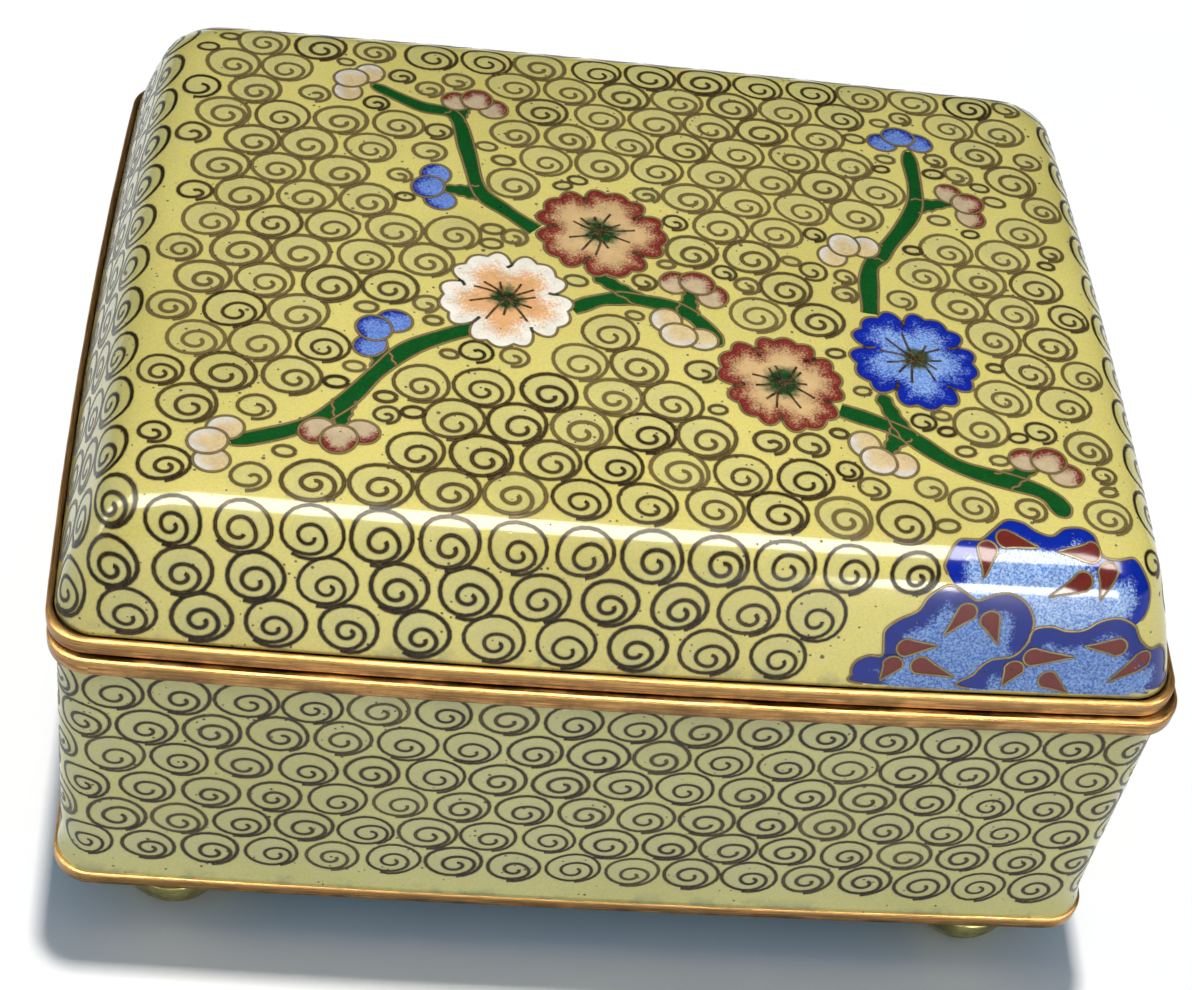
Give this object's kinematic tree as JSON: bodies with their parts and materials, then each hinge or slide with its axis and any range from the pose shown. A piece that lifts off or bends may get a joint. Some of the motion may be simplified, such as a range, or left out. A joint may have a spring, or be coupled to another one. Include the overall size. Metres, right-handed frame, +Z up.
{
  "type": "cloisonne enamel box",
  "caption": "Rectangular cloisonne enamel box with a lift-off domed lid, copper edgings and brass bun feet, in wire scrolls on a yellow ground with plum blossom branches",
  "frame": {"origin": "on the surface the feet stand on, under the middle of the box", "axes": "+X along the long side to the right, +Y towards the back, +Z up"},
  "size_m": [0.1102, 0.0842, 0.0595],
  "materials": {
    "yellow_enamel": "glossy fired enamel between copper wires",
    "copper_edging": "worn brown copper, brighter along its edges",
    "brass_feet": "dull brass"
  },
  "bodies": {
    "root": {"base_shell": "yellow_enamel", "lid_shell": "yellow_enamel", "base_mouth_rim": "copper_edging", "base_foot_rim": "copper_edging", "lid_rim": "copper_edging", "foot_front_left": "brass_feet", "foot_front_right": "brass_feet", "foot_back_left": "brass_feet", "foot_back_right": "brass_feet"}
  },
  "joints": []
}
